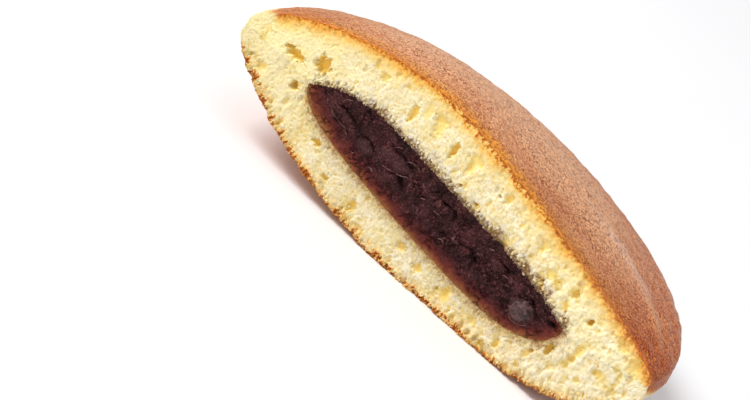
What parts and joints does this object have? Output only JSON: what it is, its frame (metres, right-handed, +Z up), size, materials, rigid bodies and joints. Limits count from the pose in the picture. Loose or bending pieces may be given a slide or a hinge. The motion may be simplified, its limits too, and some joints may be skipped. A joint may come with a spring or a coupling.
{
  "type": "dorayaki half",
  "caption": "Cut half of a dorayaki: two round griddle cakes with browned domes around a lens of sweet red bean paste, lying on its browned underside.",
  "frame": {"origin": "on the table, at the middle of the footprint", "axes": "+X along the cut from the left tip to the right tip, +Y away from the cut face towards the round rim, +Z up"},
  "size_m": [0.095, 0.0556, 0.0317],
  "materials": {
    "cake": "soft matte sponge, open yellow crumb at the cut, smooth browned skin outside",
    "bean_paste": "dark red-brown, moist and partly glossy"
  },
  "bodies": {
    "root": {"upper_cake": "cake", "lower_cake": "cake", "bean_paste": "bean_paste"}
  },
  "joints": []
}
